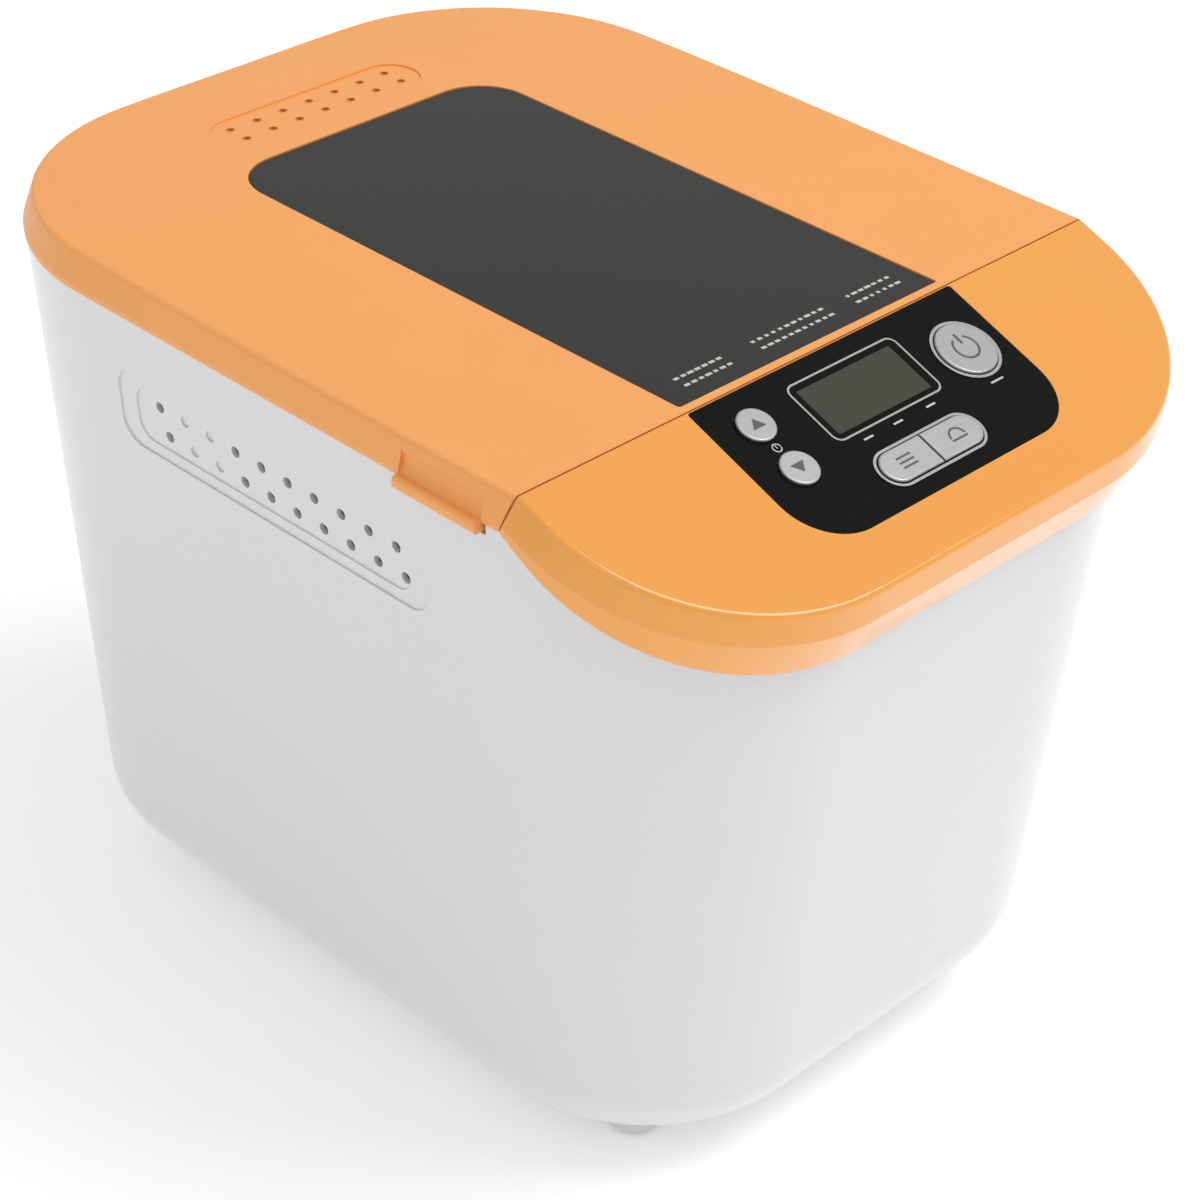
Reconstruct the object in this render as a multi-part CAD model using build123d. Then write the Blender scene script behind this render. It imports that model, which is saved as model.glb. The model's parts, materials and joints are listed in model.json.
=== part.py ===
from build123d import *
from math import atan, cos, degrees, radians, sin, tan
import os

# Bread machine, millimetres. +Z is up, -Y is the control end and +Y is the hinge end.
# The origin is on the floor, under the middle of the bounding box.

# ---- Driving sizes ------------------------------------------------------------------
TOP_Z = 230.0            # highest face of the lid
CAP_HALF_W = 115.0       # half width of the lid and control cover
CAP_DEPTH = 310.0        # front edge to rear face of the cap
HINGE_R = 4.0            # hinge knuckle radius
HINGE_GAP = 0.6          # air between a knuckle and the lid's rear face
EDGE_LOSS = 2.9          # the rounding takes this much off the furthest front point
FRONT_Y = -(CAP_DEPTH + HINGE_GAP + 2 * HINGE_R + EDGE_LOSS) / 2
REAR_Y = FRONT_Y + CAP_DEPTH
SEAM_Y = -93.2           # lid to control cover seam, on the top face
SEAM_LEAN = 16.0         # the seam leans back as it goes down, degrees
SEAM_GAP = 0.5
SLOPE = 20.8             # fall of the control cover towards the front, degrees
FRONT_LEAN = 25.3        # undercut of the control cover's front face, degrees
SKIRT_Z = 219.5          # lower edge of the lid's skirt
FRONT_SKIRT_Z = 184.3    # lower edge of the control cover at the front
SHOULDER = (3.0, 9.0)    # the cap leans in by the first over the second, round its top
CREASE_R = 1.6           # rounding between the shoulder and the top
SKIN = 2.4               # moulded wall of the cap
FOOT_H = 9.0
BODY_WALL = 2.6
BODY_EDGE_R = 24.0       # rounding round the bottom of the body
RIM_GAP = 0.5            # reveal between cap and body
CHAMBER_Y = 19.0         # centre of baking chamber, pan and drive shaft
MOTOR_Y = -105.0
BIG = 600.0              # edge of the blocks that trim other shapes

# Plan outlines: half width, front y, rear y, front corner radius, rear corner radius
CAP_LOW_Z, CAP_HIGH_Z = 170.0, 240.0
FRONT_TOP_Z = TOP_Z - (SEAM_Y - FRONT_Y) * tan(radians(SLOPE))
CAP_RADII = (68.0, 71.0)
BODY_LOW = (97.5, -134.8, 132.2, 58.0, 52.0)
BODY_HIGH = (115.2, -150.4, 149.4, 68.0, 71.0)

SEAM_LOW_Y = SEAM_Y + (TOP_Z - SKIRT_Z) * tan(radians(SEAM_LEAN))
SKIRT_FRONT_Y = FRONT_Y + (FRONT_TOP_Z - FRONT_SKIRT_Z) * tan(radians(FRONT_LEAN))
SKIRT_FALL = degrees(atan((SKIRT_Z - FRONT_SKIRT_Z) / (SEAM_LOW_Y - SKIRT_FRONT_Y)))

# ---- Window, panel and vents --------------------------------------------------------
WINDOW = (51.5, -90.2, 90.4, 1.0, 16.7)
PANE_GAP = 0.15
PANE_DROP = 0.3          # the pane lies this far below the lid's face
PANE_T = 2.8
LEDGE = 4.0              # width of the ledge under a pane or panel
LEDGE_T = 2.2
PANEL_HALF_W, PANEL_LEN, PANEL_R = 52.2, 52.8, 17.2
PANEL_T = 2.0
LID_VENT = dict(y=109.0, columns=7, pitch=10.2, row=7.6, r=1.3, recess=(78.0, 19.0, 0.5))
SIDE_VENT = dict(y=1.5, z=190.0, fields=((126.0, 25.0, 8.0, 0.5), (112.0, 17.5, 6.0, 0.9)), r=1.7,
                 first_y=-51.8, pitch=10.7, columns=10, blind=(7, 8), row=8.4, skew=3.0)

# Control layout on the slope: x across, s down the slope from the seam
START = (37.5, 20.5)
START_R = 9.2
ARROW_X, ARROW_S, ARROW_R = -38.4, (12.5, 29.0), 5.7
PILL = (0.2, 41.6)
PILL_LEN, PILL_W = 38.0, 10.4
PILL_SPLIT = 0.5
BUTTON_GAP = 0.3
BUTTON_RISE = 1.1
KEY_DEPTH = 4.2          # underside of a key's flange below the slope
BOARD_TOP = 10.0         # top of the control board below the slope
DISPLAY = (-0.3, 17.0)
DISPLAY_W, DISPLAY_H = 37.4, 17.0
FRAME_W, FRAME_H = 43.0, 21.6

# ---- Baking chamber and pan ---------------------------------------------------------
SHEET = 0.8
DECK_TOP, DECK_T = 211.0, 2.2
CHAMBER_HALF_W, CHAMBER_HALF_L, CHAMBER_R = 76.0, 92.0, 22.0
CHAMBER_FLOOR = 52.0
FLANGE = 6.0
PAN_FLOOR, PAN_RIM = 72.0, 186.0
PAN_WALL = 1.6
PAN_LOW = (57.0, 71.0, 14.0)      # half width, half length and corner radius at the floor
PAN_HIGH = (61.0, 75.5, 18.0)     # the same at the rim
PAN_RING_R = 47.0
BAIL_Z, BAIL_X, BAIL_REACH, BAIL_R = 178.0, 66.6, 84.0, 2.0
SHAFT_R = 4.0
RUN_GAP = 0.06                    # radial clearance of a running fit
HEATER_Z, HEATER_R = 64.0, 3.2
HEATER_HALF_W, HEATER_HALF_L = 67.0, 83.0
TERMINAL_X = 38.0

# ---- Drive --------------------------------------------------------------------------
BELT_Z, BELT_H, BELT_T = 30.0, 3.6, 2.2
BIG_PULLEY_R, SMALL_PULLEY_R = 42.0, 7.0   # at the bottom of the groove
BELT_GAP = 0.2
PLATE_Z, PLATE_T = 44.0, 2.0               # chassis plate
BEARING_FLANGE_TOP, BEARING_TOP = 49.0, 58.0
MOTOR_SHAFT_R = 2.5
STACK = (62.0, 88.0)                       # motor laminations, bottom and top
STACK_W, STACK_L = 58.0, 52.0
ROTOR_R = 14.0
BOLT_X, BOLT_Y = 24.0, 21.0

# ---- Power board ------------------------------------------------------------------
POWER_BOARD_X = 44.0
BRACKET_Y = -81.0

# ---- Lid underside ------------------------------------------------------------------
FRAME_Z = (216.9, 218.9)
LINER_BOTTOM = 212.3
LINER = (79.0, -76.0, 114.0, 24.0, 24.0)
GLASS = (45.0, -62.0, 92.0, 8.0, 8.0)
SEAL_BOTTOM = DECK_TOP + 0.3

# ---- Hinge --------------------------------------------------------------------------
HINGE_Y = REAR_Y + HINGE_GAP + HINGE_R
HINGE_Z = 214.0
HINGE_X = 38.0
KNUCKLE_L, LID_KNUCKLE_L, KNUCKLE_GAP = 14.0, 8.0, 0.3
PIN_R = 2.0

FOOT_R = 8.0
FEET = [(64.0, -98.0), (-64.0, -98.0), (62.0, 93.0), (-62.0, 93.0)]
BASE_HALF_W, BASE_HALF_L = 48.0, 84.0
BASE_LAP = 8.0
BASE_T = 1.2
PAD_TOP = 2.4
GLAND = (-40.0, 48.0)
GLAND_BORE_R, GLAND_R = 3.4, 6.5


# ---- Planes -------------------------------------------------------------------------
def tilted(origin, normal):
    return Plane(origin=origin, x_dir=(1, 0, 0), z_dir=normal)


def tilt_normal(angle):
    """Upward normal of a face that falls towards -Y by angle degrees."""
    return (0, -sin(radians(angle)), cos(radians(angle)))


SLOPE_PLANE = tilted((0, SEAM_Y, TOP_Z), tilt_normal(SLOPE))
TOP_PLANE = tilted((0, 0, TOP_Z), (0, 0, 1))
SKIRT_PLANE = tilted((0, SEAM_LOW_Y, SKIRT_Z), tilt_normal(SKIRT_FALL))
SEAM_FRONT = tilted((0, SEAM_Y, TOP_Z), (0, -cos(radians(SEAM_LEAN)), -sin(radians(SEAM_LEAN))))
SEAM_BACK = tilted((0, SEAM_Y, TOP_Z), (0, cos(radians(SEAM_LEAN)), sin(radians(SEAM_LEAN))))
SIDE_LEAN = atan((BODY_HIGH[0] - BODY_LOW[0]) / (TOP_Z - FOOT_H))


# ---- Shape helpers ------------------------------------------------------------------
def beyond(plane, offset=0.0):
    """Everything on the normal's side of a plane."""
    return plane.location * Pos(0, 0, BIG / 2 + offset) * Box(BIG, BIG, BIG)


def beneath(plane, offset=0.0):
    """Everything behind a plane."""
    return plane.location * Pos(0, 0, offset - BIG / 2) * Box(BIG, BIG, BIG)


def level(z):
    return tilted((0, 0, z), (0, 0, 1))


def span_box(x_span, y_span, z_span):
    """A box from its three low and high bounds."""
    spans = (x_span, y_span, z_span)
    size = [high - low for low, high in spans]
    centre = [(high + low) / 2 for low, high in spans]
    return Pos(*centre) * Box(*size)


def rod(x, y, z_low, z_high, radius):
    return Pos(x, y, (z_low + z_high) / 2) * Cylinder(radius, z_high - z_low)


def tube(x, y, z_low, z_high, outer, inner):
    return rod(x, y, z_low, z_high, outer) - rod(x, y, z_low, z_high, inner)


def cross_rod(x_low, x_high, y, z, radius):
    """A cylinder along X."""
    return Pos((x_low + x_high) / 2, y, z) * Rot(0, 90, 0) * Cylinder(radius, x_high - x_low)


def outline(half_w, front, rear, r_front, r_rear):
    """A rounded plan outline with one radius for the front pair and one for the rear."""
    face = Pos(0, (front + rear) / 2) * Rectangle(2 * half_w, rear - front)
    face = fillet(face.vertices().group_by(Axis.Y)[0], r_front)
    return fillet(face.vertices().group_by(Axis.Y)[-1], r_rear)


def shrunk(plan, by):
    half_w, front, rear, r_front, r_rear = plan
    return half_w - by, front + by, rear - by, r_front - by, r_rear - by


def prism(plan, z_low, z_high):
    """A straight-sided block on a plan outline."""
    return extrude(Pos(0, 0, z_low) * outline(*plan), z_high - z_low)


def frustum(low, z_low, high, z_high):
    """A straight-ruled block between two plan outlines."""
    return loft([Pos(0, 0, z_low) * outline(*low), Pos(0, 0, z_high) * outline(*high)], ruled=True)


def centred(half_w, half_l, radius):
    """A plan outline centred on the baking chamber."""
    return half_w, CHAMBER_Y - half_l, CHAMBER_Y + half_l, radius, radius


def mirrored(shape):
    return mirror(shape, Plane.YZ)


def on_slope(x, s, depth=0.0):
    """A place on the control slope, depth above its face."""
    return SLOPE_PLANE.location * Pos(x, -s, depth)


def slope_block(x, s, sketch, low, high):
    """A block standing on the control slope."""
    return on_slope(x, s, low) * extrude(sketch, high - low)


def screw(place, length, head_r=3.0, head_h=1.9, shank_r=1.5):
    """A pan-head screw whose head stands above place and whose shank runs below it."""
    head = Pos(0, 0, head_h / 2) * Cylinder(head_r, head_h)
    head = fillet(head.edges().group_by(Axis.Z)[-1], head_h * 0.45)
    slot = Pos(0, 0, head_h) * (Box(head_r * 1.2, 0.7, 1.4) + Box(0.7, head_r * 1.2, 1.4))
    return place * (head + Pos(0, 0, -length / 2) * Cylinder(shank_r, length) - slot)


# ---- Cap: lid and control cover share one envelope ----------------------------------
def cap_front(z):
    return FRONT_Y + (FRONT_TOP_Z - z) * tan(radians(FRONT_LEAN))


def cap_block(by):
    """The cap's envelope, with its faces moved inwards."""
    low = (CAP_HALF_W, cap_front(CAP_LOW_Z), REAR_Y) + CAP_RADII
    high = (CAP_HALF_W, cap_front(CAP_HIGH_Z), REAR_Y) + CAP_RADII
    block = frustum(shrunk(low, by), CAP_LOW_Z, shrunk(high, by), CAP_HIGH_Z)
    return block - beyond(TOP_PLANE, -by) - beyond(SLOPE_PLANE, -by)


def rim_edges(block, plane):
    """The edges round one top face, without the edge at the seam."""
    face = [f for f in block.faces().filter_by(GeomType.PLANE)
            if f.normal_at().dot(plane.z_dir) > 0.9999][0]
    return [e for e in face.edges() if abs(e.center().X) > 1 or abs(e.center().Y - SEAM_Y) > 6]


def shouldered(block, plane, by):
    """Gives a block its leaning shoulder and, on the outside, the small rounding above it."""
    top = [f for f in block.faces().filter_by(GeomType.PLANE) if f.normal_at().dot(plane.z_dir) > 0.9999][0]
    block = chamfer(rim_edges(block, plane), SHOULDER[0], SHOULDER[1], reference=top)
    return block if by else fillet(rim_edges(block, plane), CREASE_R)


def lid_block(by):
    block = cap_block(by) - beyond(SEAM_FRONT, -SEAM_GAP / 2 - by) - beneath(level(SKIRT_Z - by))
    return shouldered(block, TOP_PLANE, by)


def control_block(by):
    block = cap_block(by) - beyond(SEAM_BACK, -SEAM_GAP / 2 - by) - beneath(SKIRT_PLANE, -by * 4)
    return shouldered(block, SLOPE_PLANE, by)


def finger_tab():
    """The pull under the lid's left edge: a lip with a scoop above it."""
    y_span = (SEAM_Y + 9.6, SEAM_Y + 39.6)
    lip = span_box((-CAP_HALF_W - 2.3, -CAP_HALF_W + SKIN), y_span, (216.4, SKIRT_Z + 0.6))
    return fillet(lip.edges().filter_by(Axis.Y).group_by(Axis.X)[0], 1.2)


def finger_scoop():
    middle = SEAM_Y + 24.6
    return Pos(-CAP_HALF_W - 4.7, middle, 224.2) * Rot(90, 0, 0) * Cylinder(6.4, 30.0)


def hinge_barrels():
    """Centres and half lengths of the lid's own knuckles, right of centre."""
    reach = KNUCKLE_L / 2 + KNUCKLE_GAP + LID_KNUCKLE_L / 2
    return [HINGE_X - reach, HINGE_X + reach]


def lid_knuckle(x):
    half = LID_KNUCKLE_L / 2
    top = SKIRT_Z + 2.4
    web = span_box((x - half, x + half), (REAR_Y - SKIN, HINGE_Y), (SKIRT_Z + 0.2, top))
    barrel = cross_rod(x - half, x + half, HINGE_Y, HINGE_Z, HINGE_R)
    neck = span_box((x - half, x + half), (HINGE_Y - 2.6, HINGE_Y + 1.6), (HINGE_Z, top))
    return barrel + web + neck


def lid_vents():
    vent = LID_VENT
    length, height, depth = vent["recess"]
    floor = Pos(0, vent["y"], TOP_Z - depth)
    cut = floor * extrude(SlotOverall(length, height), 2 * depth)
    holes = GridLocations(vent["pitch"], vent["row"], vent["columns"], 2)
    return [cut] + [floor * place * Cylinder(vent["r"], 8) for place in holes]


def lid_screw_spots():
    return [(x, y) for x in (-92.0, 92.0) for y in (-72.0, 10.0, 78.0)]


def make_lid_cover():
    cover = lid_block(0) - lid_block(SKIN) - beneath(level(SKIRT_Z))
    plan = shrunk(WINDOW, -1.5 * LEDGE)
    ledge_bottom = TOP_Z - PANE_DROP - PANE_T - LEDGE_T
    ledge = prism(plan, ledge_bottom, TOP_Z - SKIN + 0.2) & lid_block(SKIN / 2)
    bosses = [rod(x, y, FRAME_Z[1], TOP_Z - SKIN + 0.2, 3.6) for x, y in lid_screw_spots()]
    cover += [ledge] + bosses
    cover -= prism(WINDOW, TOP_Z - PANE_DROP - PANE_T, TOP_Z + 1)
    cover -= prism(shrunk(WINDOW[:3] + (LEDGE + 1, WINDOW[4]), LEDGE), TOP_Z - 20, TOP_Z)
    cover -= lid_vents()
    cover -= [rod(x, y, FRAME_Z[1] - 1, FRAME_Z[1] + 6, 1.5) for x, y in lid_screw_spots()]
    cover -= [finger_scoop(), mirrored(finger_scoop())]
    cover += [finger_tab(), mirrored(finger_tab())]
    for x in hinge_barrels():
        cover += [lid_knuckle(x), lid_knuckle(-x)]
    bores = cross_rod(-HINGE_X * 2, HINGE_X * 2, HINGE_Y, HINGE_Z, PIN_R + RUN_GAP)
    return cover - bores


def make_lid_window():
    top = TOP_Z - PANE_DROP
    pane = prism(shrunk(WINDOW[:3] + (1.0 + PANE_GAP, WINDOW[4]), PANE_GAP), top - PANE_T, top)
    return chamfer(pane.edges().group_by(Axis.Z)[-1], 0.3)


def make_lid_inner_frame():
    """The heat-resistant plate that closes the lid from below."""
    low, high = FRAME_Z
    plate = body_block(BODY_WALL + 0.8) & span_box((-BIG, BIG), (-BIG, BIG), (low, high))
    plate -= beyond(SEAM_FRONT, -SEAM_GAP / 2 - SKIN - 0.4)
    plate -= prism(shrunk(LINER, 3.0), low - 1, high + 1)
    plate += prism(shrunk(LINER, -6.0), SEAL_BOTTOM + 3.0, low) - prism(shrunk(LINER, -4.0), 0, BIG)
    return plate - [rod(x, y, low - 1, high + 1, 1.5) for x, y in lid_screw_spots()]


def make_lid_liner():
    """A pressed tray that faces the baking chamber, with an opening for the inner glass."""
    top = FRAME_Z[0]
    tray = prism(LINER, LINER_BOTTOM, top)
    tray -= prism(shrunk(LINER, SHEET), LINER_BOTTOM + SHEET, top + 1)
    tray -= prism(shrunk(GLASS, 3.0), LINER_BOTTOM - 1, top)
    return tray


def make_lid_inner_glass():
    low = LINER_BOTTOM + SHEET
    return prism(GLASS, low, low + 3.0)


def make_lid_seal():
    """The silicone ring that presses on the deck round the chamber mouth."""
    body = prism(shrunk(LINER, -4.0), SEAL_BOTTOM + 1.5, FRAME_Z[0]) - prism(LINER, 0, BIG)
    lip = prism(shrunk(LINER, -3.0), SEAL_BOTTOM, SEAL_BOTTOM + 1.5) - prism(shrunk(LINER, -1.0), 0, BIG)
    return body + lip


def make_lid_screws():
    turned = Rot(180, 0, 0)
    return [screw(Pos(x, y, FRAME_Z[0]) * turned, 7.0) for x, y in lid_screw_spots()]


# ---- Control cover and controls -----------------------------------------------------
def panel_sketch(by):
    """The control panel's outline on the slope: square at the seam, rounded in front."""
    half_w, near, far = PANEL_HALF_W - by, -0.6 - by, -PANEL_LEN + by
    return outline(half_w, far, near, PANEL_R - by, 1.0)


def make_control_cover():
    cover = control_block(0) - control_block(SKIN)
    ledge_top, ledge_low = -SKIN + 0.3, -PANEL_T - 0.1 - LEDGE_T
    ledge = on_slope(0, 0, ledge_low) * extrude(panel_sketch(-3.0), ledge_top - ledge_low)
    cover += ledge & control_block(SKIN / 2)
    cover -= on_slope(0, 0, -PANEL_T - 0.1) * extrude(panel_sketch(-PANE_GAP), 5)
    cover -= on_slope(0, 0, -20) * extrude(panel_sketch(LEDGE), 20)
    tongue = cap_block(SKIN + 3.2) - beyond(SEAM_BACK, -SEAM_GAP / 2)
    tongue -= beneath(SEAM_BACK, -SEAM_GAP / 2 - SKIN)
    tongue -= beneath(level(DECK_TOP + 0.2)) + beyond(level(SKIRT_Z + 5))
    cover += tongue
    for x, down in board_spots():
        cover += slope_block(x, down, Circle(2.6), -BOARD_TOP, ledge_low + 0.2)
        cover -= slope_block(x, down, Circle(1.5), -BOARD_TOP - 1, ledge_low - 2.4)
    return cover


def pill_half(side, grow):
    """One half of the oblong key pair; side is -1 or +1."""
    oblong = SlotOverall(PILL_LEN + 2 * grow, PILL_W + 2 * grow)
    half = Pos(side * (PILL_SPLIT + PILL_LEN) / 2, 0) * Rectangle(PILL_LEN, 2 * PILL_W)
    return oblong & half


def button_specs():
    """Name, place on the slope and sketch builder of each key."""
    return [
        ("start_button", START, lambda grow: Circle(START_R + grow)),
        ("up_button", (ARROW_X, ARROW_S[0]), lambda grow: Circle(ARROW_R + grow)),
        ("down_button", (ARROW_X, ARROW_S[1]), lambda grow: Circle(ARROW_R + grow)),
        ("menu_button", PILL, lambda grow: pill_half(-1, grow)),
        ("crust_button", PILL, lambda grow: pill_half(1, grow)),
    ]


def make_control_panel():
    panel = on_slope(0, 0, -PANEL_T - 0.1) * extrude(panel_sketch(0), PANEL_T)
    for name, (x, s), sketch in button_specs():
        if name not in ("menu_button", "crust_button"):
            panel -= slope_block(x, s, sketch(BUTTON_GAP), -5, 5)
    oblong = SlotOverall(PILL_LEN + 2 * BUTTON_GAP, PILL_W + 2 * BUTTON_GAP)
    panel -= slope_block(*PILL, oblong, -5, 5)
    panel -= slope_block(*DISPLAY, RectangleRounded(DISPLAY_W, DISPLAY_H, 0.8), -5, 5)
    return panel


def make_button(x, s, sketch):
    """A key: a rounded cap on a wider flange, with a stem to its switch."""
    cap = slope_block(x, s, sketch(0), -KEY_DEPTH, BUTTON_RISE)
    face = cap.faces().sort_by(Axis((0, 0, 0), SLOPE_PLANE.z_dir))[-1]
    cap = fillet(face.edges(), 0.5)
    flange = slope_block(x, s, sketch(0.8), -KEY_DEPTH, -PANEL_T - 0.7)
    stem = on_slope(x + sketch(0).center().X, s, -KEY_DEPTH) * Pos(0, 0, -1.7) * Cylinder(2.0, 3.6)
    return cap + flange + stem


def make_panel_trim():
    """The bright rings round the start key, the oblong key pair and the display."""
    ring = Circle(START_R + 1.2) - Circle(START_R + 0.3)
    oblong = SlotOverall(PILL_LEN + 2.4, PILL_W + 2.4) - SlotOverall(PILL_LEN + 0.8, PILL_W + 0.8)
    frame = RectangleRounded(FRAME_W, FRAME_H, 3.0) - RectangleRounded(FRAME_W - 1.2, FRAME_H - 1.2, 2.4)
    return [
        slope_block(*START, ring, -0.1, 0.35),
        slope_block(*PILL, oblong, -0.1, 0.35),
        slope_block(*DISPLAY, frame, -0.1, 0.1),
    ]


def make_display_lens():
    return slope_block(*DISPLAY, RectangleRounded(DISPLAY_W - 0.1, DISPLAY_H - 0.1, 0.75), -1.5, -0.3)


def make_display_module():
    x, s = DISPLAY
    return slope_block(x, s, Rectangle(DISPLAY_W + 6, DISPLAY_H + 7), 0.1 - BOARD_TOP, -PANEL_T - 0.3)


def board_spots():
    """Where the control board hangs from the cover's ledge."""
    return [(x, down) for x in (-50.4, 50.4) for down in (10.0, 38.0)]


def make_control_board():
    board = slope_block(0, 27.0, RectangleRounded(108, 42, 3), -BOARD_TOP - 1.6, -BOARD_TOP)
    return board - [slope_block(x, down, Circle(1.5), -20, 0) for x, down in board_spots()]


def make_button_switches():
    """A tact switch under each key."""
    switches = []
    for name, (x, s), sketch in button_specs():
        centre = x + sketch(0).center().X
        base = slope_block(centre, s, Rectangle(6, 6), -BOARD_TOP, 1.1 - BOARD_TOP)
        switches.append(base + slope_block(centre, s, Circle(1.6), 1.1 - BOARD_TOP, 1.6 - BOARD_TOP))
    return switches


def make_board_screws():
    """Screws of the control board, driven from below, and of the power board, from its side."""
    turned = Rot(180, 0, 0)
    screws = [screw(on_slope(x, down, -BOARD_TOP - 1.6) * turned, 4.6) for x, down in board_spots()]
    return screws + [screw(Pos(POWER_BOARD_X, y, z) * Rot(0, -90, 0), 2.6) for y, z in bracket_spots()]


# ---- Housing ------------------------------------------------------------------------
def body_block(by):
    """The body's envelope, with its faces moved inwards."""
    block = frustum(shrunk(BODY_LOW, by), FOOT_H, shrunk(BODY_HIGH, by), TOP_Z)
    if by:
        block -= beneath(level(FOOT_H + by))
    return fillet(block.edges().group_by(Axis.Z)[0], BODY_EDGE_R - by)


def side_vent():
    """The left vent's shallow field, its open holes and its two blind columns."""
    vent = SIDE_VENT
    x = BODY_LOW[0] + (vent["z"] - FOOT_H) * tan(SIDE_LEAN)
    out = (-cos(SIDE_LEAN), 0, -sin(SIDE_LEAN))
    plane = Plane(origin=(-x, vent["y"], vent["z"]), x_dir=(0, 1, 0), z_dir=out)
    cuts = []
    for length, height, corner, depth in vent["fields"]:
        cuts.append(plane.location * extrude(RectangleRounded(length, height, corner), depth, both=True))
    for column in range(vent["columns"]):
        along = vent["first_y"] + column * vent["pitch"] - vent["y"]
        depth = 1.5 if column in vent["blind"] else 8.0
        for up, shift in ((vent["row"] / 2, 0), (-vent["row"] / 2, vent["skew"])):
            cuts.append(plane.location * Pos(along + shift, up, 0) * Cylinder(vent["r"], 2 * depth))
    return cuts


def base_screw_spots():
    return [(x, y) for x in (-52.0, 52.0) for y in (-70.0, 70.0)]


def make_housing_shell():
    shell = body_block(0) - body_block(BODY_WALL)
    shell -= beyond(level(SKIRT_Z - RIM_GAP))
    shell -= beyond(SKIRT_PLANE, -RIM_GAP)
    shell -= prism((BASE_HALF_W, -BASE_HALF_L, BASE_HALF_L, 16.0, 16.0), 0, 30)
    vents = side_vent()
    shell -= vents + [mirrored(cut) for cut in vents]
    notch = span_box((-BIG, -CAP_HALF_W + SKIN + 2.0), (SEAM_Y + 8.6, SEAM_Y + 40.6), (215.6, TOP_Z))
    shell -= [notch, mirrored(notch)]
    shell -= [rod(x, y, 0, 30, 1.5) for x, y in FEET + base_screw_spots()]
    shell -= Pos(GLAND[0], BODY_LOW[2], GLAND[1]) * Rot(90, 0, 0) * Cylinder(GLAND_R, 40)
    for x, z in bracket_screw_spots():
        shell -= Pos(x, REAR_Y, z) * Rot(90, 0, 0) * Cylinder(1.5, 20)
    return shell


def make_feet():
    """Four moulded feet, shaped to the rounded bottom edge that they meet."""
    feet = []
    for x, y in FEET:
        foot = rod(x, y, 1.2, FOOT_H + 3.0, FOOT_R) - body_block(0)
        foot -= rod(x, y, 0, PAD_TOP, FOOT_R - 1.2) + rod(x, y, 0, PAD_TOP + 2.0, 3.2) + rod(x, y, 0, 30, 1.5)
        feet.append(foot)
    return feet


def make_foot_pads():
    return [fillet(rod(x, y, 0, PAD_TOP, FOOT_R - 1.3).edges().group_by(Axis.Z)[0], 0.5) for x, y in FEET]


def make_base_plate():
    """The steel plate that closes the body from inside, with cooling slots."""
    low = FOOT_H + BODY_WALL
    plan = (BASE_HALF_W + BASE_LAP, -BASE_HALF_L - BASE_LAP, BASE_HALF_L + BASE_LAP, 18.0, 18.0)
    plate = prism(plan, low, low + BASE_T)
    plate -= [place * extrude(SlotOverall(26, 3), 40) for place in GridLocations(34, 8, 2, 13)]
    return plate - [rod(x, y, 0, 30, 1.5) for x, y in base_screw_spots() + leg_screw_spots()]


def make_base_screws():
    """The screws of the base plate and of the four feet, all driven from below."""
    turned = Rot(180, 0, 0)
    plate_screws = [screw(Pos(x, y, FOOT_H) * turned, 8.0) for x, y in base_screw_spots()]
    return plate_screws + [screw(Pos(x, y, PAD_TOP + 2.0) * turned, 11.0) for x, y in FEET]


def make_cord_gland():
    """The bush where the supply cord enters, low on the rear wall."""
    x, z = GLAND
    wall_y = BODY_LOW[2] + (z - FOOT_H) * (BODY_HIGH[2] - BODY_LOW[2]) / (TOP_Z - FOOT_H)
    along_y = Rot(-90, 0, 0)
    sleeve = Pos(x, wall_y, z) * along_y * Cylinder(GLAND_R, 14)
    collar = Pos(x, wall_y + 2.2, z) * along_y * Cylinder(GLAND_R + 2.5, 4.6) - body_block(0)
    nut = Pos(x, wall_y - 5.2, z) * along_y * Cylinder(GLAND_R + 2.5, 3.0)
    gland = sleeve + collar + nut
    return gland - Pos(x, wall_y, z) * along_y * Cylinder(GLAND_BORE_R, 60)


def make_top_deck():
    """The moulded deck round the chamber mouth, seen when the lid is open."""
    low = DECK_TOP - DECK_T
    deck = body_block(BODY_WALL + 0.3) & span_box((-BIG, BIG), (SEAM_Y + 1.5, BIG), (low, DECK_TOP))
    deck -= prism(centred(CHAMBER_HALF_W - SHEET, CHAMBER_HALF_L - SHEET, CHAMBER_R - SHEET), 0, BIG)
    return deck


# ---- Baking chamber -----------------------------------------------------------------
def make_chamber():
    """A pressed steel box with a flange under the deck."""
    rim_z = DECK_TOP - DECK_T
    outer = centred(CHAMBER_HALF_W, CHAMBER_HALF_L, CHAMBER_R)
    box = prism(outer, CHAMBER_FLOOR, rim_z)
    flange = prism(shrunk(outer, -FLANGE), rim_z - SHEET, rim_z)
    box = box + flange - prism(shrunk(outer, SHEET), CHAMBER_FLOOR + SHEET, BIG)
    box -= rod(0, CHAMBER_Y, 0, 80, 12.0)
    front = CHAMBER_Y - CHAMBER_HALF_L
    for x in (-TERMINAL_X, TERMINAL_X):
        box -= Pos(x, front, HEATER_Z) * Rot(90, 0, 0) * Cylinder(5.0, 10)
    box -= cross_rod(CHAMBER_HALF_W - 5, CHAMBER_HALF_W + 5, CHAMBER_Y, 110, 4.0)
    return box


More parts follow.
